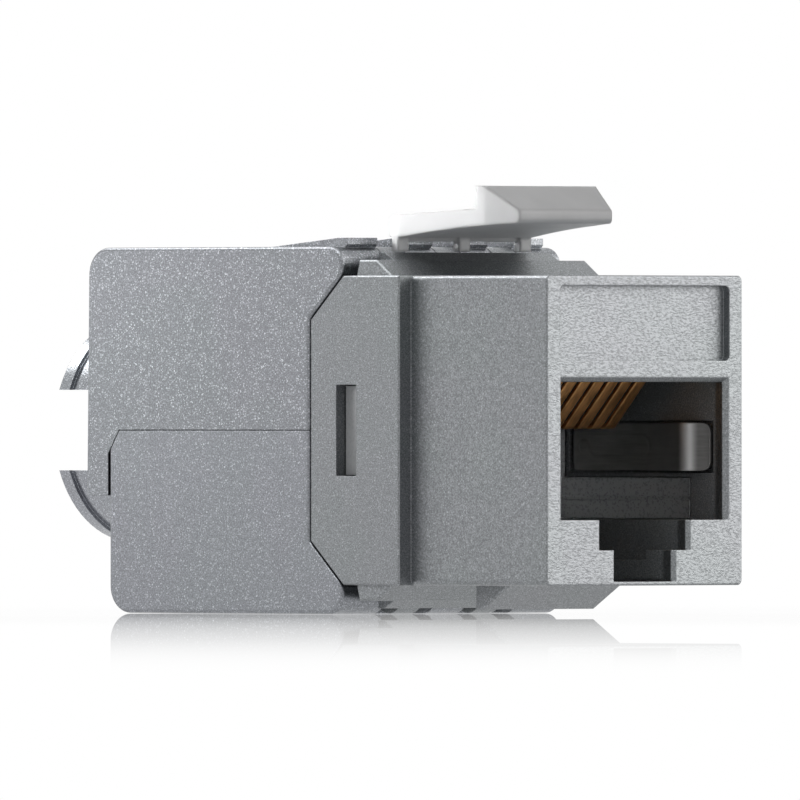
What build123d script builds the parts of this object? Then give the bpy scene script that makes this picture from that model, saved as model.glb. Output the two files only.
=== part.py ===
"""Shielded tool-less keystone jack in mm: +X out of the socket, +Z on the latch side, origin on the face."""

import os
from math import hypot

from build123d import *

os.makedirs("parts", exist_ok=True)

# Front block and rear block of the housing
face_width = 14.5
face_height = 16.0
face_corner = 0.3
edge_bevel = 0.08
face_bevel = 0.07
shoulder_depth = 9.8
shoulder_step = 0.9
rear_block_length = 6.43
bevel_run = 2.36
bevel_drop = 2.27
seam_gap = 0.08
side_wall = 1.2
roof_wall = 1.3
front_wall = 2.0

# Socket opening and label recess, measured from the edges of the face
socket_side = 1.25
socket_head = 5.5
socket_sill = 3.38
socket_bevel = 0.25
key_width = 6.4
key_sill = 1.82
tab_width = 4.25
tab_sill = 0.2
tab_slot_length = 6.5
step_bevel = 0.2
label_side = 0.97
label_head = 0.53
label_height = 3.87
label_depth = 0.44

# Panel catches, ridges and hinge bosses
catch_depth = 8.1
hook_width = 8.3
hook_drop = 1.25
hook_tip = 0.42
hook_slope = 1.98
ridge_inset = 0.4
ridge_length = 2.57
ridge_rise = 0.81
ridge_front_slope = 1.11
ridge_rear_slope = 0.2
boss_inset = 2.05
boss_length = 1.13
boss_rise = 0.4
boss_slope = 0.7
root_bite = 0.3
lug_bite = 0.2
web_bite = 0.4

# Windows in the side walls
window_setback = 0.885
window_length = 1.47
window_height = 4.72
window_recess = 0.67

# Covers and hinges
cover_rise = 1.5
cover_wall = 1.2
cover_roof = 1.2
cover_length = 16.27
cover_corner = 1.4
cover_round = 0.2
cover_gap = 0.05
rear_draft = 0.16
rear_step = 1.55
tail_drop = 3.4
step_run = 0.75
step_drop = 1.2
barrel_radius = 1.0
pin_diameter = 1.0
pin_lug_clearance = 0.02
pin_cover_clearance = 0.05
pin_cap = 0.65
sweep_gap = 0.07
lug_clearance = 0.1
tongue_edge = 0.8
tongue_width = 2.2
tongue_rise = 0.47
tongue_reach = 0.5
tongue_brow = 0.35
tongue_undercut = 0.4
ramp_length = 5.1
lower_tongue_edge = 0.85
lower_tongue_width = 2.3
lower_lug_width = 1.55
lower_lug_shift = 0.13
lip_thickness = 0.3
lip_clearance = 0.08
lip_drop = 0.5
lip_root = 1.2
lip_bite = 0.2
tongue_bite = 0.3
pad_bite = 0.5
rear_rise = 0.5

# Cable collar
collar_bore = 8.4
collar_wall = 1.45
collar_length = 4.93
collar_gap = 2.1
flange_rise = 0.2
flange_thickness = 0.87
flange_bevel = 0.12

# Latch
latch_gap = 0.04
latch_setback = 0.28
latch_leg_height = 0.75
latch_leg_width = 0.78
latch_leg_depth = 0.45
latch_leg_edge = 0.41
latch_rib_drop = 0.22
latch_rib_setback = 0.2
latch_root_width = 9.88
latch_block_width = 8.24
latch_tip_width = 6.82
latch_tip_reach = 2.42
latch_tip_rise = 0.71
latch_nose = 0.65
latch_catch_rise = 2.64
latch_catch_land = 0.54
latch_root_overhang = 0.6
latch_root_thickness = 1.13
latch_block_rise = 1.46
latch_arch = 0.1
latch_rear_round = 0.4

# Contact carrier and contact wires
fit_gap = 0.05
carrier_wall = 1.2
carrier_margin = 0.4
carrier_setback = 1.4
shelf_front = 3.3
shelf_gap = 0.3
nose_depth = 4.1
groove_gap = 0.07
rail_front = 2.6
rail_depth = 0.5
rail_gap = 0.3
contact_count = 8
contact_pitch = 1.02
contact_width = 0.74
contact_thickness = 0.2
contact_run_rise = 1.5
contact_tip_depth = 6.1
contact_tip_drop = 2.4
contact_slope = 1.07
contact_bend = 0.45
contact_hook_run = 1.1
contact_hook_rise = 0.35

# Circuit board, terminals and wire manager
board_setback = 1.73
stack_gap = 0.1
board_thickness = 1.2
board_margin = 0.35
block_margin = 0.5
block_length = 2.2
block_corner = 0.5
block_inset = 2.1
tower_gap = 0.7
tower_length = 1.5
terminal_inset = 1.43
terminal_gap = 1.1
terminal_thickness = 0.4
terminal_reach = 4.0
terminal_slit = 0.36
slit_length = 3.2
tail_half = 0.28
fork_lead = 0.5
fork_bevel = 0.25
fork_mouth = 0.45
fork_throat = 0.6
manager_length = 7.7
manager_corner = 0.6
fork_clearance = 0.15
manager_margin = 0.65
manager_inset = 1.8
manager_bore = 8.0
manager_bore_length = 3.0
wire_slot = 1.2
slot_setback = 1.5
fan_length = 1.6
pad_length = 1.2
pad_width = 2.2
pad_depth = 2.1
pad_gap = 0.1

# Shield springs
spring_height = 2.5
spring_shift = 0.21
spring_thickness = 0.2
spring_front = 1.1
spring_length = 10.0
spring_bulge = 0.75
spring_apex = 1.15
spring_slope = 3.25
spring_pocket = 0.35
spring_bend = 0.9
dimple_radius = 0.45
dimple_setback = 0.8
dimple_rise = 0.12

half_face = face_height / 2
half_width = face_width / 2
rear_half = half_width + shoulder_step
inner_half = rear_half - side_wall
seam_depth = shoulder_depth + rear_block_length
bevel_depth = seam_depth - bevel_run
bevel_edge = half_face - bevel_drop
bevel_length = hypot(bevel_run, bevel_drop)
bevel_slope = bevel_drop / bevel_run
along_x = -bevel_run / bevel_length
along_z = -bevel_drop / bevel_length

# The hinge axis lies one barrel radius and one seam gap off the bevel
cover_half_height = half_face + cover_rise
cover_inner = cover_half_height - cover_roof
hinge_z = cover_half_height - barrel_radius
hinge_offset = barrel_radius + seam_gap + along_x * (hinge_z - half_face)
hinge_x = -bevel_depth + hinge_offset / along_z
touch_x = hinge_x - along_z * barrel_radius
touch_z = hinge_z + along_x * barrel_radius
cheek_x = -seam_depth - seam_gap
cheek_z = touch_z + along_z * (touch_x - cheek_x) / -along_x
seam_half = cover_gap / 2
pin_radius = pin_diameter / 2
pin_blind_end = rear_half - pin_cap
upper_rear_depth = seam_depth + cover_length
lower_rear_depth = upper_rear_depth - rear_step

# Ridges and bosses stay clear of the tongues as these turn
tongue_sweep = hypot(tongue_reach, barrel_radius + tongue_rise)
boss_rear = -hinge_x - tongue_sweep - sweep_gap
boss_front = boss_rear - boss_length
boss_width = 2 * (rear_half - boss_inset)
ridge_front = boss_rear - ridge_length
ridge_width = 2 * (rear_half - ridge_inset)
ridge_level = half_face + ridge_rise
boss_level = ridge_level + boss_rise
web_x = hinge_x - 0.6 * barrel_radius
web_foot = half_face - bevel_slope * (-web_x - bevel_depth) - web_bite
tongue_outer = inner_half - tongue_edge
tongue_inner = tongue_outer / 3
upper_lug_width = 2 * tongue_inner - tongue_width - 2 * lug_clearance
lugs_upper = (-2 * tongue_inner, 0.0, 2 * tongue_inner)
lower_tongue_pitch = inner_half - lower_tongue_edge
lower_slot_inner = lower_tongue_width / 2
lower_slot_outer = lower_tongue_pitch - lower_tongue_width / 2
lower_slot_centre = (lower_slot_inner + lower_slot_outer) / 2
lower_slot_width = lower_slot_outer - lower_slot_inner
lower_lug_offset = lower_slot_centre - lower_lug_shift
lugs_lower = (-lower_lug_offset, lower_lug_offset)
lip_inner = inner_half - lip_clearance - lip_thickness
lip_front = seam_depth + 5 * lip_clearance
lip_rear = lower_rear_depth - cover_wall - 2 * lip_clearance
lip_foot = seam_half + 2 * lip_clearance

socket_width = face_width - 2 * socket_side
socket_half = socket_width / 2
socket_top = half_face - socket_head
socket_floor = socket_sill - half_face
key_floor = key_sill - half_face
tab_floor = tab_sill - half_face
label_width = face_width - 2 * label_side
label_centre = half_face - label_head - label_height / 2
chamber_half = half_face - roof_wall
chamber_mouth = chamber_half - bevel_drop

board_front = seam_depth - board_setback
board_rear = board_front + board_thickness
board_width = 2 * (inner_half - board_margin)
board_height = 2 * (chamber_half - bevel_slope * (board_rear - bevel_depth) - board_margin / 2)
carrier_rear = board_front - carrier_setback
carrier_front = carrier_rear - carrier_wall
carrier_drop = chamber_half - 0.2
chamber_front = carrier_front - carrier_margin
window_centre = board_front - window_setback
spring_centre = (socket_top + socket_floor) / 2 + spring_shift
spring_rear = spring_front + spring_length
spring_seat = socket_half + spring_pocket - fit_gap - spring_thickness / 2
rail_top = spring_centre - spring_height / 2 - rail_gap
contact_run_height = socket_top + contact_run_rise
contact_tip_height = socket_top - contact_tip_drop
contact_bend_x = -contact_tip_depth + (contact_run_height - contact_tip_height) / contact_slope
contact_places = [(place - (contact_count - 1) / 2) * contact_pitch for place in range(contact_count)]
shelf_bottom = socket_top + shelf_gap
shelf_top = contact_run_height + 0.1

block_front = board_rear + stack_gap
block_step = seam_depth + 2 * seam_gap
block_rear = block_step + block_length
block_width = 2 * (inner_half - block_margin)
block_height = 2 * (cover_inner - block_inset)
terminal_pitch = block_width / 4
terminal_width = terminal_pitch - terminal_gap
terminal_row = chamber_mouth - terminal_inset
terminal_end = block_rear + terminal_reach
terminal_places = [(1.5 - place) * terminal_pitch for place in range(4)]
tower_inner = terminal_row / 2
manager_front = block_rear + stack_gap
manager_rear = manager_front + manager_length
manager_width = 2 * (inner_half - manager_margin)
manager_height = 2 * (cover_inner - manager_inset)
slot_front = manager_front + slot_setback
slot_rear = manager_rear - manager_bore_length + fan_length / 2
slot_floor = terminal_row - wire_slot
fan_width = manager_width - 1.4
fan_height = 2 * terminal_row
pad_offset = manager_width / 2 - 2
pad_reach = manager_height / 2 - pad_depth
pad_root = cover_half_height - pad_bite
pad_centre_x = -manager_rear - pad_gap - pad_length / 2
pad_centre_z = (pad_reach + pad_root) / 2

collar_inner = collar_bore / 2
collar_outer = collar_inner + collar_wall
flange_outer = collar_outer + flange_rise
collar_end = upper_rear_depth + collar_length

latch_leg_bottom = boss_level + latch_gap
latch_root_depth = boss_rear - latch_setback
latch_root_height = latch_leg_bottom + latch_leg_height
latch_leg_pitch = latch_root_width / 2 - latch_leg_edge
latch_beam_rear = latch_root_depth + latch_root_overhang
latch_root_top = latch_root_height + latch_root_thickness
latch_block_base = latch_root_height + latch_block_rise
latch_catch_height = latch_root_height + latch_catch_rise
latch_tip_depth = catch_depth - latch_tip_reach
latch_tip_height = latch_root_height + latch_tip_rise
latch_arch_depth = (latch_root_depth + latch_tip_depth) / 2
latch_arch_height = (latch_root_height + latch_tip_height) / 2 + latch_arch
latch_nose_round = 0.4 * latch_nose
catch_front = catch_depth - latch_catch_land
latch_taper = (latch_block_width - latch_tip_width) / 2 / (catch_front - latch_tip_depth)
latch_outer_tip = latch_tip_width / 2 - latch_taper

# Housing
with BuildPart() as housing:
    # Rear block with bevelled upper and lower rear corners
    with BuildSketch(Plane.XZ):
        with BuildLine():
            Polyline(
                (-shoulder_depth, half_face),
                (-bevel_depth, half_face),
                (-seam_depth, bevel_edge),
                (-seam_depth, -bevel_edge),
                (-bevel_depth, -half_face),
                (-shoulder_depth, -half_face),
                close=True,
            )
        make_face()
    extrude(amount=rear_half, both=True)
    chamfer(housing.faces().sort_by(Axis.Y)[0].edges(), edge_bevel)
    chamfer(housing.faces().sort_by(Axis.Y)[-1].edges(), edge_bevel)
    # Front block that passes through the panel
    with BuildSketch(Plane.YZ):
        RectangleRounded(face_width, face_height, face_corner)
    extrude(amount=-shoulder_depth - 1)
    chamfer(housing.faces().sort_by(Axis.X)[-1].edges(), face_bevel)
    # Label recess
    with BuildSketch(Plane.YZ):
        with Locations((0, label_centre)):
            RectangleRounded(label_width, label_height, face_corner)
    extrude(amount=-label_depth, mode=Mode.SUBTRACT)
    # Socket opening with its two tab steps
    with BuildSketch(Plane.YZ):
        with Locations((0, (socket_top + socket_floor) / 2)):
            Rectangle(socket_width, socket_top - socket_floor)
    extrude(amount=-chamber_front, mode=Mode.SUBTRACT)
    socket_rim = housing.edges().filter_by_position(Axis.X, -0.01, 0.01)
    socket_rim = socket_rim.filter_by_position(Axis.Y, -socket_half - 0.01, socket_half + 0.01)
    socket_rim = socket_rim.filter_by_position(Axis.Z, socket_floor - 0.01, socket_top + 0.01)
    chamfer(socket_rim.sort_by(Axis.Z)[1:], socket_bevel)
    with BuildSketch(Plane.YZ):
        with Locations((0, (socket_floor + key_floor) / 2)):
            Rectangle(key_width, socket_floor - key_floor)
    extrude(amount=-front_wall - 0.1, mode=Mode.SUBTRACT)
    with BuildSketch(Plane.YZ):
        with Locations((0, (socket_floor + tab_floor) / 2)):
            Rectangle(tab_width, socket_floor - tab_floor)
    extrude(amount=-tab_slot_length, mode=Mode.SUBTRACT)
    step_rim = housing.edges().filter_by(Axis.Z).filter_by_position(Axis.X, -0.01, 0.01)
    step_rim = step_rim.filter_by_position(Axis.Y, -key_width / 2 - 0.01, key_width / 2 + 0.01)
    chamfer(step_rim, step_bevel)
    # Channel behind the steps for the plug's tab
    with BuildSketch(Plane.YZ.offset(-front_wall)):
        with Locations((0, (socket_floor - chamber_half) / 2)):
            Rectangle(key_width, socket_floor + chamber_half)
    extrude(amount=front_wall - chamber_front - 0.1, mode=Mode.SUBTRACT)
    # Room above the plug for the contacts
    with BuildSketch(Plane.YZ.offset(-front_wall)):
        with Locations((0, (chamber_half + socket_top) / 2)):
            Rectangle(socket_width, chamber_half - socket_top + 0.2)
    extrude(amount=front_wall - chamber_front - 0.1, mode=Mode.SUBTRACT)
    # Rear chamber, open to the back
    with BuildSketch(Plane.XZ):
        with BuildLine():
            Polyline(
                (-chamber_front, chamber_half),
                (-bevel_depth, chamber_half),
                (-seam_depth, chamber_mouth),
                (-seam_depth - 1, chamber_mouth),
                (-seam_depth - 1, -chamber_mouth),
                (-seam_depth, -chamber_mouth),
                (-bevel_depth, -chamber_half),
                (-chamber_front, -chamber_half),
                close=True,
            )
        make_face()
    extrude(amount=inner_half, both=True, mode=Mode.SUBTRACT)
    # Pockets for the shield springs and for the carrier's rails
    for side in (-1, 1):
        with BuildSketch(Plane.XZ.offset(-side * socket_half)):
            with Locations((-(spring_front + spring_rear) / 2, spring_centre)):
                Rectangle(spring_rear - spring_front + 0.4, spring_height + 0.2)
        extrude(amount=-side * spring_pocket, mode=Mode.SUBTRACT)
        with BuildSketch(Plane.XZ.offset(-side * socket_half)):
            with Locations((-(rail_front + chamber_front) / 2, (rail_top + socket_floor) / 2)):
                Rectangle(chamber_front - rail_front + 0.2, rail_top - socket_floor)
        extrude(amount=-side * rail_depth, mode=Mode.SUBTRACT)
    # Windows that hold the carrier's lugs
    with BuildSketch(Plane.XZ):
        with Locations((-window_centre, 0)):
            RectangleRounded(window_length, window_height, edge_bevel)
    extrude(amount=rear_half + 1, both=True, mode=Mode.SUBTRACT)
    # Ridges and hinge bosses across the top and the bottom
    for side in (-1, 1):
        with BuildSketch(Plane.XZ):
            with BuildLine():
                Polyline(
                    (-ridge_front, side * (half_face - root_bite)),
                    (-ridge_front, side * half_face),
                    (-ridge_front - ridge_front_slope, side * ridge_level),
                    (-boss_rear + ridge_rear_slope, side * ridge_level),
                    (-boss_rear, side * half_face),
                    (-boss_rear, side * (half_face - root_bite)),
                    close=True,
                )
            make_face()
        extrude(amount=ridge_width / 2, both=True)
        for end in (-ridge_width / 2, ridge_width / 2):
            ridge_rim = housing.edges().filter_by_position(Axis.Y, end - 0.01, end + 0.01)
            chamfer(ridge_rim.sort_by(Axis.Z)[:: -side][:3], edge_bevel)
        with BuildSketch(Plane.XZ):
            with BuildLine():
                Polyline(
                    (-boss_front, side * half_face),
                    (-boss_front, side * ridge_level),
                    (-boss_front - boss_slope, side * boss_level),
                    (-boss_rear, side * boss_level),
                    (-boss_rear, side * half_face),
                    close=True,
                )
            make_face()
        extrude(amount=boss_width / 2, both=True)
    # Hinge lugs
    for side, places, width in ((1, lugs_upper, upper_lug_width), (-1, lugs_lower, lower_lug_width)):
        for place in places:
            with BuildSketch(Plane.XZ.offset(-place)):
                with Locations((hinge_x, side * hinge_z)):
                    Circle(barrel_radius)
                with BuildLine():
                    Polyline(
                        (-boss_rear + lug_bite, side * boss_level),
                        (hinge_x, side * boss_level),
                        (web_x, side * hinge_z),
                        (web_x, side * web_foot),
                        (-boss_rear + lug_bite, side * (half_face - root_bite)),
                        close=True,
                    )
                make_face()
            extrude(amount=width / 2, both=True)
        with BuildSketch(Plane.XZ):
            with Locations((hinge_x, side * hinge_z)):
                Circle(pin_radius + pin_lug_clearance)
        extrude(amount=rear_half + 1, both=True, mode=Mode.SUBTRACT)
    # Fixed hook under the front block
    with BuildSketch(Plane.XZ):
        with BuildLine():
            Polyline(
                (-catch_depth, -half_face + root_bite),
                (-catch_depth, -half_face - hook_drop),
                (-catch_depth + hook_tip, -half_face - hook_drop),
                (-catch_depth + hook_tip + hook_slope, -half_face),
                (-catch_depth + hook_tip + hook_slope, -half_face + root_bite),
                close=True,
            )
        make_face()
    extrude(amount=hook_width / 2, both=True)
    for end in (-hook_width / 2, hook_width / 2):
        hook_rim = housing.edges().filter_by_position(Axis.Y, end - 0.01, end + 0.01)
        hook_rim = hook_rim.filter_by_position(Axis.X, -catch_depth + 0.01, 0)
        chamfer(hook_rim.sort_by(Axis.Z)[:2], edge_bevel)

# Contact carrier
with BuildPart() as contact_carrier:
    # Shelf under the contact runs and back wall of the socket
    with BuildSketch(Plane.XZ):
        with BuildLine():
            Polyline(
                (-shelf_front, shelf_bottom),
                (-shelf_front, shelf_top),
                (-carrier_rear, shelf_top),
                (-carrier_rear, shelf_bottom),
                close=True,
            )
        make_face()
    extrude(amount=socket_half - fit_gap, both=True)
    with BuildSketch(Plane.YZ.offset(-carrier_front)):
        with Locations((0, (shelf_top - carrier_drop) / 2)):
            Rectangle(2 * inner_half - 2 * fit_gap, shelf_top + carrier_drop)
    extrude(amount=carrier_front - carrier_rear)
    # Rails along the socket walls, arms and window lugs
    for side in (-1, 1):
        with BuildSketch(Plane.XZ.offset(-side * (socket_half + rail_depth - fit_gap))):
            with Locations((-(rail_front + carrier_front) / 2 - 0.05, (rail_top + socket_floor) / 2)):
                Rectangle(carrier_front - rail_front, rail_top - socket_floor - 2 * fit_gap)
        extrude(amount=side * (rail_depth - 2 * fit_gap))
        with BuildSketch(Plane.XZ.offset(-side * (socket_half + fit_gap))):
            with Locations((-(rail_front + carrier_front) / 2, (rail_top + socket_floor) / 2)):
                Rectangle(carrier_front, 0.2)
        extrude(amount=-side * 0.15, mode=Mode.SUBTRACT)
        with BuildSketch(Plane.XZ.offset(-side * (inner_half - fit_gap))):
            with Locations((-(carrier_rear + board_front) / 2, 0)):
                Rectangle(board_front - carrier_rear, window_height - 0.2)
        extrude(amount=side * 0.9)
        with BuildSketch(Plane.XZ.offset(-side * (inner_half - 0.2))):
            with Locations((-window_centre, 0)):
                Rectangle(window_length - 2 * fit_gap, window_height - 2 * fit_gap)
        extrude(amount=-side * (side_wall - window_recess + 0.2))
    # Grooves that guide the contact wires
    for place in contact_places:
        with BuildSketch(Plane.XY.offset(contact_run_height - contact_thickness / 2 - groove_gap)):
            with Locations((-carrier_rear / 2, place)):
                Rectangle(carrier_rear + 2, contact_width + 2 * groove_gap)
        extrude(amount=1.5, mode=Mode.SUBTRACT)
        with BuildSketch(Plane.XY.offset(shelf_bottom - 0.5)):
            with Locations((-nose_depth / 2, place)):
                Rectangle(nose_depth, contact_width + 2 * groove_gap)
        extrude(amount=3, mode=Mode.SUBTRACT)

# Contact wires
contacts = []
for place in contact_places:
    with BuildPart() as contact_wire:
        with BuildLine(Plane.XZ.offset(-place)) as wire_path:
            FilletPolyline(
                (-board_rear + 0.1, contact_run_height),
                (contact_bend_x, contact_run_height),
                (-contact_tip_depth, contact_tip_height),
                (-contact_tip_depth - contact_hook_run, contact_tip_height + contact_hook_rise),
                radius=contact_bend,
            )
        with BuildSketch(Plane(origin=wire_path.line @ 0, x_dir=(0, 1, 0), z_dir=wire_path.line % 0)):
            Rectangle(contact_width, contact_thickness)
        sweep()
    contacts.append(contact_wire)

# Circuit board
with BuildPart() as circuit_board:
    with BuildSketch(Plane.YZ.offset(-board_front - 0.03)):
        Rectangle(board_width, board_height)
        with Locations(*[(place, contact_run_height) for place in contact_places]):
            Rectangle(contact_width + 2 * fit_gap, contact_thickness + 2 * fit_gap, mode=Mode.SUBTRACT)
        for side in (-1, 1):
            with Locations(*[(place, side * terminal_row) for place in terminal_places]):
                Rectangle(2 * tail_half + 2 * fit_gap, terminal_thickness + 2 * fit_gap, mode=Mode.SUBTRACT)
    extrude(amount=-board_thickness)

# Terminal block
with BuildPart() as terminal_block:
    with BuildSketch(Plane.YZ.offset(-block_front)):
        Rectangle(block_width, 2 * chamber_mouth - 4 * fit_gap)
    extrude(amount=block_front - block_step - 0.1)
    with BuildSketch(Plane.YZ.offset(-block_step)):
        RectangleRounded(block_width, block_height, block_corner)
    extrude(amount=block_step - block_rear)
    # Channels that part the eight terminal towers
    with BuildSketch(Plane.YZ.offset(-block_rear)):
        Rectangle(block_width + 1, 2 * tower_inner)
        with Locations(*[(place, 0) for place in (-terminal_pitch, 0, terminal_pitch)]):
            Rectangle(tower_gap, block_height + 1)
    extrude(amount=tower_length, mode=Mode.SUBTRACT)
    for side in (-1, 1):
        with BuildSketch(Plane.YZ.offset(-block_rear)):
            with Locations(*[(place, side * terminal_row) for place in terminal_places]):
                Rectangle(terminal_width + 2 * fit_gap, terminal_thickness + 2 * fit_gap)
        extrude(amount=block_rear, mode=Mode.SUBTRACT)

# Forked terminals
terminals = []
for side in (1, -1):
    for place in terminal_places:
        with BuildPart() as idc_terminal:
            with BuildSketch(Plane.XY.offset(side * terminal_row)):
                with BuildLine():
                    Polyline(
                        (-board_front - 0.1, place + tail_half),
                        (-block_front - 0.1, place + tail_half),
                        (-block_front - 0.1, place + terminal_width / 2),
                        (-terminal_end + fork_lead, place + terminal_width / 2),
                        (-terminal_end, place + terminal_width / 2 - fork_bevel),
                        (-terminal_end, place + fork_mouth),
                        (-terminal_end + fork_throat, place + terminal_slit / 2),
                        (-terminal_end + slit_length, place + terminal_slit / 2),
                        (-terminal_end + slit_length, place - terminal_slit / 2),
                        (-terminal_end + fork_throat, place - terminal_slit / 2),
                        (-terminal_end, place - fork_mouth),
                        (-terminal_end, place - terminal_width / 2 + fork_bevel),
                        (-terminal_end + fork_lead, place - terminal_width / 2),
                        (-block_front - 0.1, place - terminal_width / 2),
                        (-block_front - 0.1, place - tail_half),
                        (-board_front - 0.1, place - tail_half),
                        close=True,
                    )
                make_face()
            extrude(amount=terminal_thickness / 2, both=True)
        terminals.append(idc_terminal)

# Wire manager
with BuildPart() as wire_manager:
    with BuildSketch(Plane.YZ.offset(-manager_front)):
        RectangleRounded(manager_width, manager_height, manager_corner)
    extrude(amount=manager_front - manager_rear)
    with BuildSketch(Plane.YZ.offset(-manager_rear)):
        Circle(manager_bore / 2)
    extrude(amount=manager_bore_length, mode=Mode.SUBTRACT)
    # Room where the wires fan out, then a slot for each wire and each fork
    with BuildSketch(Plane.YZ.offset(-manager_rear + manager_bore_length)):
        Rectangle(fan_width, fan_height)
    extrude(amount=-fan_length, mode=Mode.SUBTRACT)
    for side in (-1, 1):
        for place in terminal_places:
            with BuildSketch(Plane.XY.offset(side * slot_floor)):
                with Locations((-(slot_front + slot_rear) / 2, place)):
                    Rectangle(slot_rear - slot_front, wire_slot)
            extrude(amount=side * manager_height, mode=Mode.SUBTRACT)
        with BuildSketch(Plane.YZ.offset(-manager_front)):
            with Locations(*[(place, side * terminal_row) for place in terminal_places]):
                Rectangle(terminal_width + 2 * fork_clearance, terminal_thickness + 2 * fork_clearance)
        extrude(amount=manager_front - terminal_end - 2 * fork_clearance, mode=Mode.SUBTRACT)

# Upper cover
with BuildPart() as upper_cover:
    with BuildSketch(Plane.XZ) as upper_outline:
        with BuildLine():
            Polyline(
                (hinge_x, hinge_z),
                (touch_x, touch_z),
                (cheek_x, cheek_z),
                (cheek_x, seam_half),
                (-lower_rear_depth + step_run - seam_half, seam_half),
                (-lower_rear_depth - seam_gap, -step_drop),
                (-lower_rear_depth - seam_gap, -tail_drop),
                (-upper_rear_depth - rear_draft, -tail_drop),
                (-upper_rear_depth, cover_half_height),
                (hinge_x, cover_half_height),
                close=True,
            )
        make_face()
        with Locations((hinge_x, hinge_z)):
            Circle(barrel_radius)
        rear_corner = upper_outline.vertices().sort_by_distance((-upper_rear_depth, cover_half_height))[0]
        fillet(rear_corner, cover_corner)
    extrude(amount=rear_half, both=True)
    for cheek in (upper_cover.faces().sort_by(Axis.Y)[0], upper_cover.faces().sort_by(Axis.Y)[-1]):
        fillet(cheek.edges().filter_by_position(Axis.Z, seam_gap, cover_half_height), cover_round)
    # Hollow inside, with the barrel left standing
    with BuildSketch(Plane.XZ):
        with BuildLine():
            Polyline(
                (-upper_rear_depth + cover_wall, -tail_drop - 1),
                (-upper_rear_depth + cover_wall, cover_half_height - cover_roof),
                (hinge_x + 2, cover_half_height - cover_roof),
                (hinge_x + 2, -tail_drop - 1),
                close=True,
            )
        make_face()
        with Locations((hinge_x, hinge_z)):
            Circle(barrel_radius, mode=Mode.SUBTRACT)
    extrude(amount=inner_half, both=True, mode=Mode.SUBTRACT)
    with BuildSketch(Plane.XZ):
        with Locations((-upper_rear_depth, -tail_drop)):
            Rectangle(2 * rear_step + 2, 2 * tail_drop + 2 * seam_half)
    extrude(amount=inner_half, both=True, mode=Mode.SUBTRACT)
    # Lips that stand behind the seam, inside the lower cover
    for side in (-1, 1):
        with BuildSketch(Plane.XZ.offset(-side * lip_inner)):
            with Locations((-(lip_front + lip_rear) / 2, (lip_root - lip_drop) / 2)):
                Rectangle(lip_rear - lip_front, lip_root + lip_drop)
        extrude(amount=-side * lip_thickness)
        with BuildSketch(Plane.XZ.offset(-side * lip_inner)):
            with Locations((-(lip_front + lip_rear) / 2, (lip_root + lip_foot) / 2)):
                Rectangle(lip_rear - lip_front, lip_root - lip_foot)
        extrude(amount=-side * (lip_thickness + lip_clearance + lip_bite))
    # Tongues that rise to the hinge
    for place in (-tongue_outer, -tongue_inner, tongue_inner, tongue_outer):
        with BuildSketch(Plane.XZ.offset(-place)):
            with BuildLine():
                Polyline(
                    (hinge_x + tongue_reach - tongue_undercut, hinge_z + 0.7 * barrel_radius),
                    (hinge_x + tongue_reach, cover_half_height + tongue_rise - tongue_brow),
                    (hinge_x + tongue_reach, cover_half_height + tongue_rise),
                    (hinge_x - 0.1, cover_half_height + tongue_rise),
                    (hinge_x - ramp_length, cover_half_height),
                    (hinge_x - ramp_length, cover_half_height - tongue_bite),
                    (hinge_x, hinge_z),
                    close=True,
                )
            make_face()
        extrude(amount=tongue_width / 2, both=True)
    # Slots around the housing's hinge lugs
    for place in lugs_upper:
        with BuildSketch(Plane.XZ.offset(-place)):
            with Locations((hinge_x, hinge_z)):
                Circle(barrel_radius + lug_clearance)
            with Locations((hinge_x, hinge_z + barrel_radius)):
                Rectangle(2 * barrel_radius + 2 * lug_clearance, 2 * barrel_radius)
        extrude(amount=upper_lug_width / 2 + lug_clearance, both=True, mode=Mode.SUBTRACT)
    # Pads that press the wire manager home
    for place in (-pad_offset, pad_offset):
        with BuildSketch(Plane.XZ.offset(-place)):
            with Locations((pad_centre_x, pad_centre_z)):
                Rectangle(pad_length, pad_root - pad_reach)
        extrude(amount=pad_width / 2, both=True)
    # Upper half of the cable collar
    with BuildSketch(Plane.YZ.offset(-upper_rear_depth + cover_wall)):
        Circle(collar_outer)
        with Locations((0, collar_gap - flange_outer)):
            Rectangle(4 * flange_outer, 2 * flange_outer, mode=Mode.SUBTRACT)
    extrude(amount=upper_rear_depth - cover_wall - collar_end)
    with BuildSketch(Plane.YZ.offset(-collar_end)):
        Circle(flange_outer)
        with Locations((0, collar_gap - flange_outer)):
            Rectangle(4 * flange_outer, 2 * flange_outer, mode=Mode.SUBTRACT)
    extrude(amount=flange_thickness)
    end_circles = upper_cover.edges().filter_by(GeomType.CIRCLE).group_by(Axis.X)[0]
    chamfer(end_circles.sort_by(SortBy.RADIUS)[-1], flange_bevel)
    with BuildSketch(Plane.YZ.offset(-upper_rear_depth + cover_wall + 0.5)):
        Circle(collar_inner)
    extrude(amount=-collar_end, mode=Mode.SUBTRACT)
    # Pin hole, closed on one side
    with BuildSketch(Plane.XZ.offset(pin_blind_end + 0.1)):
        with Locations((hinge_x, hinge_z)):
            Circle(pin_radius + pin_cover_clearance)
    extrude(amount=-pin_blind_end - rear_half - 1, mode=Mode.SUBTRACT)

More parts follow.
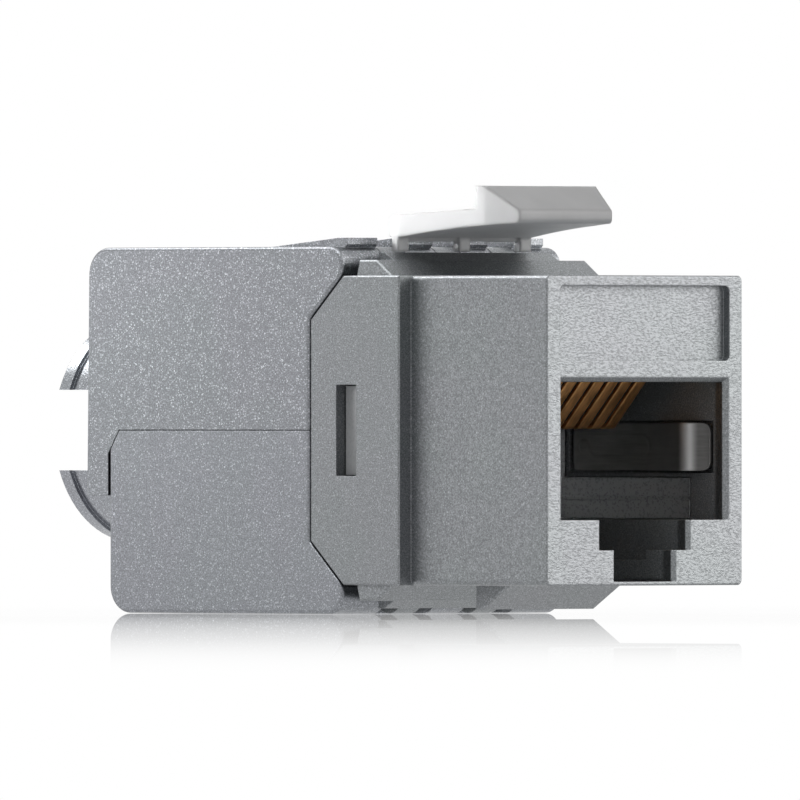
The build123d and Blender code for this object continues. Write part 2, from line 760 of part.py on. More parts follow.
# Lower cover
with BuildPart() as lower_cover:
    with BuildSketch(Plane.XZ) as lower_outline:
        with BuildLine():
            Polyline(
                (hinge_x, -hinge_z),
                (touch_x, -touch_z),
                (cheek_x, -cheek_z),
                (cheek_x, -seam_half),
                (-lower_rear_depth + step_run, -seam_half),
                (-lower_rear_depth, -step_drop),
                (-lower_rear_depth, -cover_half_height),
                (hinge_x, -cover_half_height),
                close=True,
            )
        make_face()
        with Locations((hinge_x, -hinge_z)):
            Circle(barrel_radius)
        rear_corner = lower_outline.vertices().sort_by_distance((-lower_rear_depth, -cover_half_height))[0]
        fillet(rear_corner, cover_corner)
    extrude(amount=rear_half, both=True)
    for cheek in (lower_cover.faces().sort_by(Axis.Y)[0], lower_cover.faces().sort_by(Axis.Y)[-1]):
        fillet(cheek.edges().filter_by_position(Axis.Z, -cover_half_height, -step_drop), cover_round)
    # Hollow inside, with the barrel left standing
    with BuildSketch(Plane.XZ):
        with BuildLine():
            Polyline(
                (-lower_rear_depth + cover_wall, 1),
                (-lower_rear_depth + cover_wall, cover_roof - cover_half_height),
                (hinge_x + 2, cover_roof - cover_half_height),
                (hinge_x + 2, 1),
                close=True,
            )
        make_face()
        with Locations((hinge_x, -hinge_z)):
            Circle(barrel_radius, mode=Mode.SUBTRACT)
    extrude(amount=inner_half, both=True, mode=Mode.SUBTRACT)
    # Rear wall carried up behind the seam, inside the upper cover
    with BuildSketch(Plane.YZ.offset(-lower_rear_depth + cover_wall)):
        with Locations((0, (rear_rise - step_drop) / 2)):
            Rectangle(2 * (inner_half - lip_clearance), rear_rise + step_drop)
    extrude(amount=lip_clearance - cover_wall)
    # Gaps that leave three hinge tongues
    for side in (-1, 1):
        with BuildSketch(Plane.XZ.offset(-side * lower_slot_centre)):
            with Locations((hinge_x, -hinge_z)):
                Circle(barrel_radius + lug_clearance)
            with Locations((hinge_x, -hinge_z - barrel_radius)):
                Rectangle(2 * barrel_radius + 2 * lug_clearance, 2 * barrel_radius)
        extrude(amount=lower_slot_width / 2, both=True, mode=Mode.SUBTRACT)
    # Pads that press the wire manager home
    for place in (-pad_offset, pad_offset):
        with BuildSketch(Plane.XZ.offset(-place)):
            with Locations((pad_centre_x, -pad_centre_z)):
                Rectangle(pad_length, pad_root - pad_reach)
        extrude(amount=pad_width / 2, both=True)
    # Lower half of the cable collar
    with BuildSketch(Plane.YZ.offset(-lower_rear_depth + cover_wall)):
        Circle(collar_outer)
        with Locations((0, flange_outer - collar_gap)):
            Rectangle(4 * flange_outer, 2 * flange_outer, mode=Mode.SUBTRACT)
    extrude(amount=lower_rear_depth - cover_wall - collar_end)
    with BuildSketch(Plane.YZ.offset(-collar_end)):
        Circle(flange_outer)
        with Locations((0, flange_outer - collar_gap)):
            Rectangle(4 * flange_outer, 2 * flange_outer, mode=Mode.SUBTRACT)
    extrude(amount=flange_thickness)
    end_circles = lower_cover.edges().filter_by(GeomType.CIRCLE).group_by(Axis.X)[0]
    chamfer(end_circles.sort_by(SortBy.RADIUS)[-1], flange_bevel)
    with BuildSketch(Plane.YZ.offset(-lower_rear_depth + cover_wall + 0.5)):
        Circle(collar_inner)
    extrude(amount=-collar_end, mode=Mode.SUBTRACT)
    # Pin hole, closed on one side
    with BuildSketch(Plane.XZ.offset(pin_blind_end + 0.1)):
        with Locations((hinge_x, -hinge_z)):
            Circle(pin_radius + pin_cover_clearance)
    extrude(amount=-pin_blind_end - rear_half - 1, mode=Mode.SUBTRACT)

# Hinge pins
with BuildPart() as upper_hinge_pin:
    with BuildSketch(Plane.XZ.offset(pin_blind_end)):
        with Locations((hinge_x, hinge_z)):
            Circle(pin_radius)
    extrude(amount=-pin_blind_end - rear_half + 0.1)

with BuildPart() as lower_hinge_pin:
    with BuildSketch(Plane.XZ.offset(pin_blind_end)):
        with Locations((hinge_x, -hinge_z)):
            Circle(pin_radius)
    extrude(amount=-pin_blind_end - rear_half + 0.1)

# Latch
with BuildPart() as latch:
    # Arm and catch in side view
    with BuildSketch(Plane.XZ):
        with BuildLine():
            Polyline(
                (-latch_tip_depth, latch_tip_height),
                (-latch_tip_depth, latch_tip_height + latch_nose),
                (-catch_depth + latch_catch_land, latch_catch_height),
                (-catch_depth, latch_catch_height),
                (-catch_depth, latch_block_base),
                (-latch_beam_rear, latch_root_top),
                (-latch_beam_rear, latch_root_height),
                (-latch_root_depth, latch_root_height),
            )
            ThreePointArc(
                (-latch_root_depth, latch_root_height),
                (-latch_arch_depth, latch_arch_height),
                (-latch_tip_depth, latch_tip_height),
            )
        make_face()
    extrude(amount=latch_root_width, both=True)
    cross_edges = latch.edges().filter_by(Axis.Y)
    fillet(cross_edges.sort_by_distance((-latch_beam_rear, 0, latch_root_top))[0], latch_rear_round)
    for nose_height in (latch_tip_height, latch_tip_height + latch_nose):
        nose_edge = latch.edges().filter_by(Axis.Y).sort_by_distance((-latch_tip_depth, 0, nose_height))[0]
        fillet(nose_edge, latch_nose_round)
    # Plan view narrows towards the tip
    with BuildSketch(Plane.XY.offset(latch_leg_bottom)):
        with BuildLine():
            Polyline(
                (-latch_beam_rear - 1, latch_root_width / 2),
                (-latch_root_depth, latch_root_width / 2),
                (-catch_depth + latch_catch_land, latch_block_width / 2),
                (-latch_tip_depth + 1, latch_outer_tip),
                (-latch_tip_depth + 1, -latch_outer_tip),
                (-catch_depth + latch_catch_land, -latch_block_width / 2),
                (-latch_root_depth, -latch_root_width / 2),
                (-latch_beam_rear - 1, -latch_root_width / 2),
                close=True,
            )
        make_face()
    extrude(amount=latch_catch_height, mode=Mode.INTERSECT)
    # Legs
    for place in (-latch_leg_pitch, 0, latch_leg_pitch):
        with BuildSketch(Plane.XZ.offset(-place)):
            with BuildLine():
                Polyline(
                    (-latch_root_depth, latch_leg_bottom),
                    (-latch_root_depth, latch_root_height + 0.2),
                    (-latch_beam_rear, latch_root_height + 0.2),
                    (-latch_root_depth - latch_leg_depth, latch_root_height - 0.1),
                    (-latch_root_depth - latch_leg_depth, latch_leg_bottom),
                    close=True,
                )
            make_face()
        extrude(amount=latch_leg_width / 2, both=True)
    # Cross rib behind the legs
    with BuildSketch(Plane.XY.offset(latch_root_height - latch_rib_drop)):
        with Locations((-(latch_root_depth + latch_rib_setback + latch_beam_rear) / 2, 0)):
            Rectangle(latch_root_overhang - latch_rib_setback, 2 * latch_leg_pitch)
    extrude(amount=latch_rib_drop + 0.1)

# Shield springs
springs = []
for side in (-1, 1):
    with BuildPart() as shield_spring:
        with BuildSketch(Plane.XY.offset(spring_centre - spring_height / 2)):
            with BuildLine() as leaf:
                FilletPolyline(
                    (-spring_rear, side * spring_seat),
                    (-spring_front - spring_apex - spring_slope, side * spring_seat),
                    (-spring_front - spring_apex, side * (socket_half - spring_bulge)),
                    (-spring_front, side * (spring_seat - 0.05)),
                    radius=spring_bend,
                )
            trace(leaf.line, line_width=spring_thickness)
        extrude(amount=spring_height)
        with BuildSketch(Plane.XZ.offset(-side * spring_seat)):
            with Locations((-spring_rear + dimple_setback, spring_centre)):
                Circle(dimple_radius)
        extrude(amount=side * (spring_thickness / 2 + dimple_rise))
    springs.append(shield_spring)

pieces = {
    "housing": housing,
    "contact_carrier": contact_carrier,
    "circuit_board": circuit_board,
    "terminal_block": terminal_block,
    "wire_manager": wire_manager,
    "upper_cover": upper_cover,
    "lower_cover": lower_cover,
    "upper_hinge_pin": upper_hinge_pin,
    "lower_hinge_pin": lower_hinge_pin,
    "latch": latch,
    "shield_spring_left": springs[0],
    "shield_spring_right": springs[1],
}
for number, piece in enumerate(contacts, 1):
    pieces[f"contact_wire_{number}"] = piece
for number, piece in enumerate(terminals, 1):
    pieces[f"idc_terminal_{number}"] = piece
for name, piece in pieces.items():
    piece.part.label = name
    export_step(piece.part, f"parts/{name}.step")
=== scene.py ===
import math

import bpy
import numpy as np
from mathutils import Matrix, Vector


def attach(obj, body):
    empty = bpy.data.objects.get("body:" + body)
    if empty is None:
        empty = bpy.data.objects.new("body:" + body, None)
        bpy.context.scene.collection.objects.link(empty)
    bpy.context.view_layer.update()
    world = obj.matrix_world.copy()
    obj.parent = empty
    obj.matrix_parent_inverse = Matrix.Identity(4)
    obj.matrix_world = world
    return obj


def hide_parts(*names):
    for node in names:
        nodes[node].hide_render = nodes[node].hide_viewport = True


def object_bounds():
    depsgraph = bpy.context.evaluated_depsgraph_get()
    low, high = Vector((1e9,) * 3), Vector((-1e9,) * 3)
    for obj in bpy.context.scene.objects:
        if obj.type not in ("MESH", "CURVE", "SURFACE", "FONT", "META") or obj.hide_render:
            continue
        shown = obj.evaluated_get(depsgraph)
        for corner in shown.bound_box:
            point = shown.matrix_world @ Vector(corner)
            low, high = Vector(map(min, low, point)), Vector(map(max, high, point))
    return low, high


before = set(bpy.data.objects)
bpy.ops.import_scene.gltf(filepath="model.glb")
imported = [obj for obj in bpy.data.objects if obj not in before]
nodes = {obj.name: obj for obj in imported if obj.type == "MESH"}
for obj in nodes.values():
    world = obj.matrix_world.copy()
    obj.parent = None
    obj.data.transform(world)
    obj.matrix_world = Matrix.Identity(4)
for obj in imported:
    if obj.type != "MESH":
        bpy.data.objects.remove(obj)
cad_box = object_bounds()
scene = bpy.context.scene
MM = 0.001


class Sock:
    """A shader socket that can stand in Python sums; numbers and other sockets may be on either side."""

    def __init__(self, tree, socket=None):
        self.tree = tree
        self.socket = socket

    def node(self, kind, settings=None, out=0, **sockets):
        """Adds one node, sets its settings, fills its sockets by name or number and returns one output."""
        made = self.tree.nodes.new("ShaderNode" + kind)
        for name, value in (settings or {}).items():
            setattr(made, name, value)
        for name, value in sockets.items():
            place = int(name[1:]) if name[0] == "i" and name[1:].isdigit() else name.replace("_", " ")
            if isinstance(value, Sock):
                self.tree.links.new(value.socket, made.inputs[place])
            else:
                made.inputs[place].default_value = value
        return Sock(self.tree, made.outputs[out])

    def sum_of(self, operation, first, second):
        return self.node("Math", {"operation": operation}, i0=first, i1=second)

    def __add__(self, other):
        return self.sum_of("ADD", self, other)

    def __radd__(self, other):
        return self.sum_of("ADD", other, self)

    def __sub__(self, other):
        return self.sum_of("SUBTRACT", self, other)

    def __rsub__(self, other):
        return self.sum_of("SUBTRACT", other, self)

    def __mul__(self, other):
        return self.sum_of("MULTIPLY", self, other)

    def __pow__(self, other):
        return self.sum_of("POWER", self, other)

    def larger(self, other):
        return self.sum_of("MAXIMUM", self, other)

    def ramp(self, low, high, to_low=0.0, to_high=1.0):
        """Smooth step of this value from low to high, given out between to_low and to_high."""
        kind = {"interpolation_type": "SMOOTHSTEP"}
        return self.node("MapRange", kind, Value=self, i1=low, i2=high, i3=to_low, i4=to_high)

    def blend(self, first, second):
        """Colour between first and second by this value."""
        kind = {"data_type": "RGBA"}
        return self.node("Mix", kind, out=2, i0=self, i6=first, i7=second)

    def part(self, axis):
        """One of the three parts of a vector."""
        return self.node("SeparateXYZ", out=axis, Vector=self)

    def size(self):
        """This value without its sign."""
        return self.node("Math", {"operation": "ABSOLUTE"}, i0=self)

    def along(self, way):
        """How far this vector reaches along a direction."""
        return self.node("VectorMath", {"operation": "DOT_PRODUCT"}, out="Value", i0=self, i1=way)

    def ray(self, kind):
        """One for light paths of the named kind, nought for others."""
        return self.node("LightPath", out=kind)


def grey(level, tint=(1.0, 1.0, 1.0)):
    return (level * tint[0], level * tint[1], level * tint[2], 1.0)


def opaque(colour):
    return tuple(colour) + (1.0,)


def new_finish(name):
    """An empty material, its main shader and the place of each point on the piece."""
    material = bpy.data.materials.new(name)
    material.use_nodes = True
    tree = material.node_tree
    tree.nodes.clear()
    shader = tree.nodes.new("ShaderNodeBsdfPrincipled")
    output = tree.nodes.new("ShaderNodeOutputMaterial")
    tree.links.new(shader.outputs[0], output.inputs["Surface"])
    place = Sock(tree).node("TexCoord", out="Object")
    return material, shader, place


def feed(shader, **sockets):
    """Fills sockets of the main shader with numbers, colours or links."""
    for name, value in sockets.items():
        target = shader.inputs[name.replace("_", " ")]
        if isinstance(value, Sock):
            value.tree.links.new(value.socket, target)
        else:
            target.default_value = value


def noise(place, scale, detail=2.0, roughness=0.55):
    return place.node("TexNoise", Vector=place, Scale=scale, Detail=detail, Roughness=roughness)


def specks(place, scale):
    """Round specks, one to a cell: the cell's chance number to the fifth power, fading outwards."""
    kind = {"feature": "F1"}
    chance = place.node("TexVoronoi", kind, out="Color", Vector=place, Scale=scale)
    near = place.node("TexVoronoi", kind, out="Distance", Vector=place, Scale=scale)
    return chance.node("SeparateColor", out=0, Color=chance) ** 5.0 * near.ramp(0.6, 0.15)


def rounded(place, radius):
    """Normal that rounds sharp edges off by a small radius."""
    return place.node("Bevel", {"samples": 6}, Radius=radius)


def dents(place, height, normal, strength, distance):
    return place.node("Bump", Height=height, Normal=normal, Strength=strength, Distance=distance)


# Places on the object, in metres, where a finish changes
SKIN_END, SKIN_START = -0.0009, -0.0006
RIM_END, RIM_START = -0.0004, -0.0002
COLLAR_START, COLLAR_FULL = -0.0325, -0.0327
SOCKET_HALF = ((1, 0.0064), (2, 0.0077))
SOCKET_EDGE = 0.0001
LUG_START, LUG_FULL = 0.00702, 0.00706
SPRING_BEND, BEND_REACH = -0.0022, 0.0006


def zinc(name, level, tint, painted_glint_gain, cast_front):
    """Plated die-cast zinc: grey metal with bright specks painted into its colour as painted glints, and a
    coarse cast skin on faces that look forward.
    """
    side_grain, front_grain = 0.32, 0.46
    side_relief, front_relief = 0.35, 0.58
    socket_painted_light, collar_painted_highlight = 0.05, 0.28
    front_rough, deep_rough, collar_shine = 0.06, 0.25, 0.14
    edge_round = 0.00006
    material, shader, place = new_finish(name)
    depth = place.part(0)
    facing = place.node("TexCoord", out="Normal").part(0).ramp(0.75, 0.95)
    front = facing * depth.ramp(SKIN_END, SKIN_START) * cast_front
    rest = 1.0 - front
    # Inside the socket the colour is lifted a little as painted light, and the zinc is rougher
    deep = depth.ramp(SKIN_START, SKIN_END) * cast_front
    for axis, reach in SOCKET_HALF:
        deep = deep * place.part(axis).size().ramp(reach, reach - SOCKET_EDGE)
    # Collar at the rear: painted highlight that lifts its colour, and a smoother finish
    collar = depth.ramp(COLLAR_START, COLLAR_FULL)
    fine = noise(place, 14000.0, 2.0, 0.6)
    grain_scale = (10500.0, 4800.0, 10000.0)
    stretched = place.node("Mapping", Vector=place, Location=(0.4, 0.0, 0.0), Scale=grain_scale)
    coarse = noise(stretched, 1.0, 3.0, 0.65).ramp(0.30, 0.62)
    drift = noise(place, 160.0, 2.0)
    # Painted glints: bright specks painted into the base colour stand in for the sparkle of the metal
    painted_glints = specks(place, 13000.0) + specks(place, 8500.0) * 0.7
    skin = fine.ramp(0.25, 0.8, -side_grain, side_grain) * rest + (coarse - 0.55) * front * front_grain
    shade = 1.0 + skin + painted_glints * rest * painted_glint_gain + deep * socket_painted_light + collar * collar_painted_highlight
    warmer = (tint[0] * 0.985, tint[1] * 1.005, tint[2] * 0.99)
    base = drift.ramp(0.35, 0.65).blend(grey(level, tint), grey(level, warmer))
    scaled = place.node("VectorMath", {"operation": "SCALE"}, i0=base, Scale=shade)
    relief = fine * rest * side_relief + coarse * front * front_relief
    softness = depth.ramp(RIM_END, RIM_START) * cast_front * edge_round + edge_round
    normal = dents(place, relief, rounded(place, softness), 0.45, 0.00004)
    feed(shader, Base_Color=scaled, Metallic=1.0, Normal=normal)
    gloss = fine.ramp(0.2, 0.8, 0.42, 0.30) + cast_front * front_rough
    feed(shader, Roughness=gloss + deep * deep_rough - collar * collar_shine)
    return material


def moulded(name, colour, rough, grain, gain, edge, lug=None):
    """Moulded plastic: a colour that drifts slightly, with a fine tool grain in height and gloss."""
    material, shader, place = new_finish(name)
    drift = noise(place, 220.0, 3.0)
    tooth = noise(place, grain, 2.0)
    darker = opaque(part * 0.90 for part in colour)
    base = drift.ramp(0.3, 0.7).blend(darker, opaque(colour))
    # Lugs out at the sides take the given lighter grey: painted sheen on the black plastic
    if lug:
        outside = place.part(1).size().ramp(LUG_START, LUG_FULL)
        base = outside.blend(base, opaque(lug))
    normal = dents(place, tooth, rounded(place, edge), gain, 0.00002)
    feed(shader, Base_Color=base, Normal=normal)
    feed(shader, Roughness=tooth.ramp(0.25, 0.75, rough - 0.06, rough + 0.06))
    return material


def rolled(name, colour, rough, stretch, gain, painted_bend_glint=False):
    """Rolled or plated metal: fine streaks along one axis; a spring sheet can get a painted highlight
    strip at its bend and a little less metal.
    """
    material, shader, place = new_finish(name)
    laid = place.node("Mapping", Vector=place, Scale=stretch)
    streak = noise(laid, 1.0, 3.0)
    patch = noise(place, 500.0, 2.0)
    darker = opaque(part * 0.72 for part in colour)
    base = (streak * 0.6 + patch * 0.4).ramp(0.35, 0.65).blend(darker, opaque(colour))
    # Painted highlight: a lighter grey strip across the bend of the spring sheet
    if painted_bend_glint:
        depth = place.part(0)
        behind = depth.ramp(SPRING_BEND - BEND_REACH, SPRING_BEND)
        ahead = depth.ramp(SPRING_BEND + BEND_REACH, SPRING_BEND)
        base = (behind * ahead).blend(base, grey(0.50))
    normal = dents(place, streak, rounded(place, 0.00004), gain, 0.00001)
    feed(shader, Base_Color=base, Metallic=0.7 if painted_bend_glint else 1.0, Normal=normal)
    feed(shader, Roughness=streak.ramp(0.3, 0.7, rough - 0.07, rough + 0.07))
    return material


def solder_mask(name):
    """Green board with paler copper tracks under the lacquer."""
    material, shader, place = new_finish(name)
    bands = {"wave_type": "BANDS", "bands_direction": "Y"}
    tracks = place.node("TexWave", bands, Vector=place, Scale=400.0)
    field = noise(place, 900.0, 2.0)
    track = tracks.ramp(0.55, 0.62) * field.ramp(0.45, 0.5)
    base = track.blend((0.012, 0.075, 0.032, 1.0), (0.03, 0.16, 0.06, 1.0))
    feed(shader, Base_Color=base, Roughness=field.ramp(0.2, 0.8, 0.22, 0.34))
    feed(shader, Normal=dents(place, track, rounded(place, 0.00005), 0.3, 0.00003))
    return material


# Finishes, and which piece wears which
# The upper cover gets the most painted glints, the lower cover fewer and the housing fewest
upper_zinc = zinc("upper_zinc", 0.234, (0.970, 1.0, 1.070), 2.1, 0.0)
lower_zinc = zinc("lower_zinc", 0.246, (0.972, 1.0, 1.080), 1.35, 0.0)
housing_zinc = zinc("housing_zinc", 0.245, (0.965, 1.0, 1.045), 0.8, 1.0)
latch_plastic = moulded("latch_plastic", (0.78, 0.78, 0.785), 0.42, 9000.0, 0.12, 0.00028)
# Light grey for the carrier's lugs seen through the side windows: painted sheen
lug_sheen_grey = (0.55, 0.56, 0.57)
black_plastic = moulded("black_plastic", (0.095, 0.097, 0.100), 0.30, 7000.0, 0.08, 0.0001, lug_sheen_grey)
manager_plastic = moulded("manager_plastic", (0.64, 0.65, 0.66), 0.40, 8000.0, 0.15, 0.00015)
gold = rolled("gold", (0.98, 0.52, 0.21), 0.36, (700.0, 9000.0, 2000.0), 0.05)
tinned = rolled("tinned", (0.62, 0.62, 0.60), 0.34, (1500.0, 6000.0, 9000.0), 0.2)
steel = rolled("steel", (0.56, 0.57, 0.58), 0.28, (6000.0, 900.0, 6000.0), 0.2)
spring_stretch = (500.0, 500.0, 6000.0)
spring_steel = rolled("spring_steel", (0.105, 0.103, 0.101), 0.36, spring_stretch, 0.03, painted_bend_glint=True)
board = solder_mask("board")

FINISHES = {
    "housing": housing_zinc,
    "upper_cover": upper_zinc,
    "lower_cover": lower_zinc,
    "latch": latch_plastic,
    "contact_carrier": black_plastic,
    "terminal_block": black_plastic,
    "wire_manager": manager_plastic,
    "circuit_board": board,
    "upper_hinge_pin": steel,
    "lower_hinge_pin": steel,
    "shield_spring_left": spring_steel,
    "shield_spring_right": spring_steel,
}
for name, piece in nodes.items():
    finish = FINISHES.get(name, gold if name.startswith("contact_wire") else tinned)
    piece.data.materials.clear()
    piece.data.materials.append(finish)


# Contact wires with rounded edges and embossed leaf springs, in place of plain strips
def put_in(name, points, faces, finish, body, node):
    """Makes one mesh piece that stands for a CAD node and moves with its body."""
    mesh = bpy.data.meshes.new(name)
    mesh.from_pydata(points.tolist(), [], faces)
    mesh.polygons.foreach_set("use_smooth", np.ones(len(mesh.polygons), bool))
    mesh.materials.append(finish)
    piece = bpy.data.objects.new(name, mesh)
    scene.collection.objects.link(piece)
    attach(piece, body)
    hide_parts(node)


def grid_quads(rows, columns, start=0, turned=False):
    """Corner numbers of every quad of a grid, row by row."""
    lines = np.arange(rows - 1)[:, None] * columns
    first = start + (lines + np.arange(columns - 1)[None, :]).reshape(-1)
    quads = np.stack([first, first + columns, first + columns + 1, first + 1], axis=1)
    return quads[:, ::-1] if turned else quads


def rounded_route(corners, radius, steps):
    """Polyline whose inner corners become arcs, each starting radius * tan(turn / 2) from its corner."""
    route = [corners[:1]]
    for before, corner, after in zip(corners, corners[1:], corners[2:]):
        into = (corner - before) / np.linalg.norm(corner - before)
        out_of = (after - corner) / np.linalg.norm(after - corner)
        turn = np.arccos(np.clip(into @ out_of, -1.0, 1.0))
        back = radius * np.tan(turn / 2)
        centre = corner + (out_of - into) / np.linalg.norm(out_of - into) * radius / np.cos(turn / 2)
        start = corner - into * back - centre
        angle = np.linspace(0.0, turn, steps)[:, None]
        route.append(centre + start * np.cos(angle) + into * radius * np.sin(angle))
    route.append(corners[-1:])
    return np.concatenate(route)


def contact_wire(number, offset):
    """Superellipse |y/a|^8 + |n/b|^8 = 1 carried along the bent route of one contact in the XZ plane."""
    half_width, half_thickness, bend, power = 0.37, 0.1, 0.45, 2.0 / 8.0
    arc_points, ring_points = 14, 20
    corners = np.array([(-15.6, 4.0), (-2.455, 4.0), (-6.1, 0.1), (-7.2, 0.45)])
    route = rounded_route(corners, bend, arc_points)
    along = np.gradient(route, axis=0)
    along /= np.linalg.norm(along, axis=1)[:, None]
    normal = np.stack([-along[:, 1], along[:, 0]], axis=1)
    turn = np.linspace(0.0, 2 * np.pi, ring_points, endpoint=False)
    wide = half_width * np.sign(np.cos(turn)) * np.abs(np.cos(turn)) ** power
    thick = half_thickness * np.sign(np.sin(turn)) * np.abs(np.sin(turn)) ** power
    x = route[:, 0, None] + normal[:, 0, None] * thick
    z = route[:, 1, None] + normal[:, 1, None] * thick
    y = np.broadcast_to(offset + wide, x.shape)
    points = np.stack([x, y, z], axis=-1).reshape(-1, 3) * MM
    rows, columns = x.shape
    first = np.arange(rows - 1)[:, None] * columns
    here = np.arange(columns)[None, :]
    after = (here + 1) % columns
    second = first + columns
    quads = np.stack([first + here, first + after, second + after, second + here], axis=-1)
    caps = [list(range(columns))[::-1], list(range((rows - 1) * columns, rows * columns))]
    faces = quads.reshape(-1, 4).tolist() + caps
    put_in(f"contact_{number}", points, faces, gold, "housing", f"contact_wire_{number}")


def shield_spring(name, side):
    """Leaf y = seat - bulge(x) - outline - dimple, where bulge is a softened triangle; round corners."""
    seat, middle, half, thick = 6.2, -0.85, 1.25, 0.2
    rear, front, corner = -11.1, -1.1, 0.45
    outline_middle, outline_half, outline_round = -7.75, 1.65, 0.55
    outline_height, outline_width = 0.035, 0.09
    dimple_middle, dimple_radius, dimple_depth = -10.3, 0.42, 0.13
    rows, columns, samples, blur = 161, 45, 561, 61
    u = np.linspace(rear, front, rows)
    v = np.linspace(-1.0, 1.0, columns)
    fine = np.linspace(rear - 2.0, front + 2.0, samples)
    tent = np.interp(fine, [-5.5, -2.25, front, 0.0], [0.0, 0.95, 0.05, 0.0])
    window = np.hanning(blur)
    bulge = np.interp(u, fine, np.convolve(tent, window / window.sum(), mode="same"))
    end = np.minimum(u - rear, front - u)
    inset = corner - np.sqrt(np.maximum(corner ** 2 - (corner - end) ** 2, 0.0))
    drop = np.where(end < corner, inset, 0.0)
    x = np.broadcast_to(u[:, None], (rows, columns))
    z = middle + v[None, :] * (half - drop)[:, None]
    reach = np.maximum(np.abs(x - outline_middle) - outline_half, 0.0)
    away = np.hypot(reach, z - middle) - outline_round
    outline = outline_height * np.exp(-((away / outline_width) ** 2))
    spot = np.hypot(x - dimple_middle, z - middle)
    dimple = dimple_depth * np.clip(1.0 - (spot / dimple_radius) ** 2, 0.0, None)
    sheet = seat - bulge[:, None] - outline - dimple
    inner = np.stack([x, side * (sheet - thick / 2), z], axis=-1)
    outer = np.stack([x, side * (sheet + thick / 2), z], axis=-1)
    points = np.concatenate([inner.reshape(-1, 3), outer.reshape(-1, 3)]) * MM
    size = rows * columns
    number = np.arange(size).reshape(rows, columns)
    rim = np.concatenate([number[:, 0], number[-1, 1:], number[-2::-1, -1], number[0, -2:0:-1]])
    beyond = np.roll(rim, -1)
    wall = np.stack([rim, beyond, beyond + size, rim + size], axis=1)
    flip = side < 0
    faces = [grid_quads(rows, columns, 0, not flip), grid_quads(rows, columns, size, flip)]
    faces.append(wall[:, ::-1] if flip else wall)
    faces = np.concatenate(faces).tolist()
    node = "shield_spring_" + name
    put_in("leaf_" + name, points, faces, spring_steel, "housing", node)


contact_count, contact_pitch = 8, 1.02
for number in range(contact_count):
    contact_wire(number + 1, (number - (contact_count - 1) / 2) * contact_pitch)
shield_spring("left", -1)
shield_spring("right", 1)


# Camera at the photograph's height and angle
view_angle = math.radians(44.5)
view_distance = 1.7317
towards = Vector((math.sin(view_angle), -math.cos(view_angle), 0.0))
aim = Vector((-17.72, 0.0, 1.571)) * MM
camera_data = bpy.data.cameras.new("camera")
camera_data.sensor_width = 36.0
camera_data.lens = 1500.0
camera_data.clip_start = 0.1
camera_data.clip_end = 10.0
camera = bpy.data.objects.new("camera", camera_data)
camera.location = aim + towards * view_distance
camera.rotation_mode = "QUATERNION"
camera.rotation_quaternion = (-towards).to_track_quat("-Z", "Y")
scene.collection.objects.link(camera)
scene.camera = camera


# Pale floor with a reflection that fades towards the camera
def floor_plate(near, far, side, level):
    """Flat grid: point = towards * u + across * v at one height, -far <= u <= near, -side <= v <= side."""
    rows, columns = 9, 7
    across = Vector((-towards.y, towards.x, 0.0))
    u = np.linspace(-far, near, rows)
    v = np.linspace(-side, side, columns)
    u, v = np.meshgrid(u, v, indexing="ij")
    x = towards.x * u + across.x * v
    y = towards.y * u + across.y * v
    points = np.stack([x, y, np.full_like(u, level)], axis=-1).reshape(-1, 3)
    mesh = bpy.data.meshes.new("floor")
    mesh.from_pydata(points.tolist(), [], grid_quads(rows, columns).tolist())
    plate = bpy.data.objects.new("floor", mesh)
    scene.collection.objects.link(plate)
    return plate


def floor_finish():
    """Floor: lit matt white, nearly plain white to camera and mirrors, with a mirror share that fades."""
    material = bpy.data.materials.new("floor")
    material.use_nodes = True
    tree = material.node_tree
    tree.nodes.clear()
    start = Sock(tree)
    place = start.node("TexCoord", out="Object")
    ahead = place.along(towards)
    seen = start.ray("Is Camera Ray")
    mirrored = start.ray("Is Glossy Ray").larger(start.ray("Is Transmission Ray"))
    lit = start.node("BsdfDiffuse", Color=grey(0.92))
    white = start.node("Emission", Color=grey(1.0), Strength=1.0)
    away = place.node("VectorMath", {"operation": "LENGTH"}, out="Value", i0=place)
    white_share = seen.larger(mirrored) * away.ramp(0.02, 0.10, 0.82, 1.0)
    body = start.node("MixShader", i0=white_share, i1=lit, i2=white)
    mirror = start.node("BsdfGlossy", Color=grey(1.0), Roughness=0.0)
    near = place.node("MapRange", Value=ahead, i1=0.0, i2=0.5, i3=1.0, i4=0.0)
    grazing = start.node("Fresnel", IOR=1.4)
    mirror_share = near ** 2.5 * grazing * seen * away.ramp(0.40, 0.15) * 0.85
    top = start.node("MixShader", i0=mirror_share, i1=body, i2=mirror)
    below = start.node("NewGeometry", out="Backfacing")
    surface = start.node("MixShader", i0=below, i1=top, i2=start.node("BsdfTransparent"))
    output = tree.nodes.new("ShaderNodeOutputMaterial")
    tree.links.new(surface.socket, output.inputs["Surface"])
    return material


floor_gap = 0.00002
floor = floor_plate(near=1.2, far=0.6, side=0.7, level=cad_box[0].z - floor_gap)
floor.data.materials.append(floor_finish())

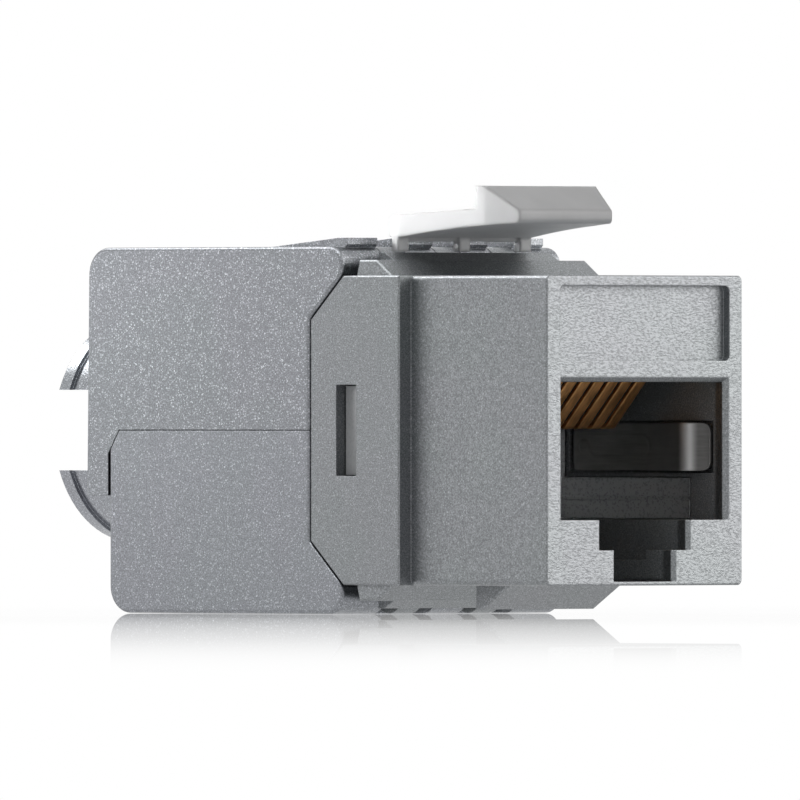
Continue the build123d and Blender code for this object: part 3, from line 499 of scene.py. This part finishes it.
# White room for camera and mirrors, dimmer behind the camera, and plain soft light for everything else
world = bpy.data.worlds.new("studio")
scene.world = world
world.use_nodes = True
world.node_tree.nodes.clear()
sky = Sock(world.node_tree)
direct = sky.ray("Is Camera Ray")
eye = direct.larger(sky.ray("Is Glossy Ray")).larger(sky.ray("Is Transmission Ray"))
soft = sky.node("Background", Color=grey(1.0), Strength=0.2)
way = sky.node("TexCoord", out="Generated")
strength = direct.larger(way.along(towards).ramp(0.86, 0.96, 1.0, 0.55))
bright = sky.node("Background", Color=grey(1.0), Strength=strength)
room = sky.node("MixShader", i0=eye, i1=soft, i2=bright)
sky_output = world.node_tree.nodes.new("ShaderNodeOutputWorld")
world.node_tree.links.new(room.socket, sky_output.inputs["Surface"])


# Lamps
WHITE = (1.0, 1.0, 1.0)
WARM = (1.0, 0.98, 0.955)


def lamp(name, direction, distance, size, watts, on_metal=True, on_matt=True, target=aim, spread=180.0,
         colour=WHITE):
    """A square soft light that looks at one point and may leave out mirrors or matt surfaces."""
    data = bpy.data.lights.new(name, "AREA")
    data.size = size
    data.energy = watts
    data.color = colour
    data.spread = math.radians(spread)
    way = Vector(direction).normalized()
    light = bpy.data.objects.new(name, data)
    light.location = target + way * distance
    light.rotation_mode = "QUATERNION"
    light.rotation_quaternion = (-way).to_track_quat("-Z", "Y")
    light.visible_camera = False
    light.visible_glossy = on_metal
    light.visible_diffuse = on_matt
    scene.collection.objects.link(light)


latch_rear = Vector((-14.5, -4.0, 12.5)) * MM
socket_middle = Vector((-7.0, 2.0, -1.5)) * MM
lamp("key", (-0.66, -0.74, 0.10), distance=0.04, size=0.012, watts=0.0012, on_metal=False,
     target=latch_rear, spread=34.0)
lamp("sheen", (-0.80, -0.58, 0.12), distance=0.11, size=0.03, watts=0.006)
lamp("roof", (-0.62, -0.10, 0.78), distance=0.5, size=0.20, watts=0.9)
lamp("crown", (0.10, -0.22, 0.95), distance=0.5, size=0.20, watts=0.8, on_matt=False)
lamp("face", (0.69, 0.70, 0.16), distance=0.5, size=0.62, watts=2.95, on_matt=False, colour=WARM)
lamp("fill", (0.62, -0.42, 0.66), distance=0.5, size=0.20, watts=0.19, on_metal=False)
lamp("socket", (0.80, -0.60, 0.02), distance=0.08, size=0.010, watts=0.00035, on_metal=False,
     target=socket_middle, spread=12.0)

scene.view_settings.view_transform = "Standard"
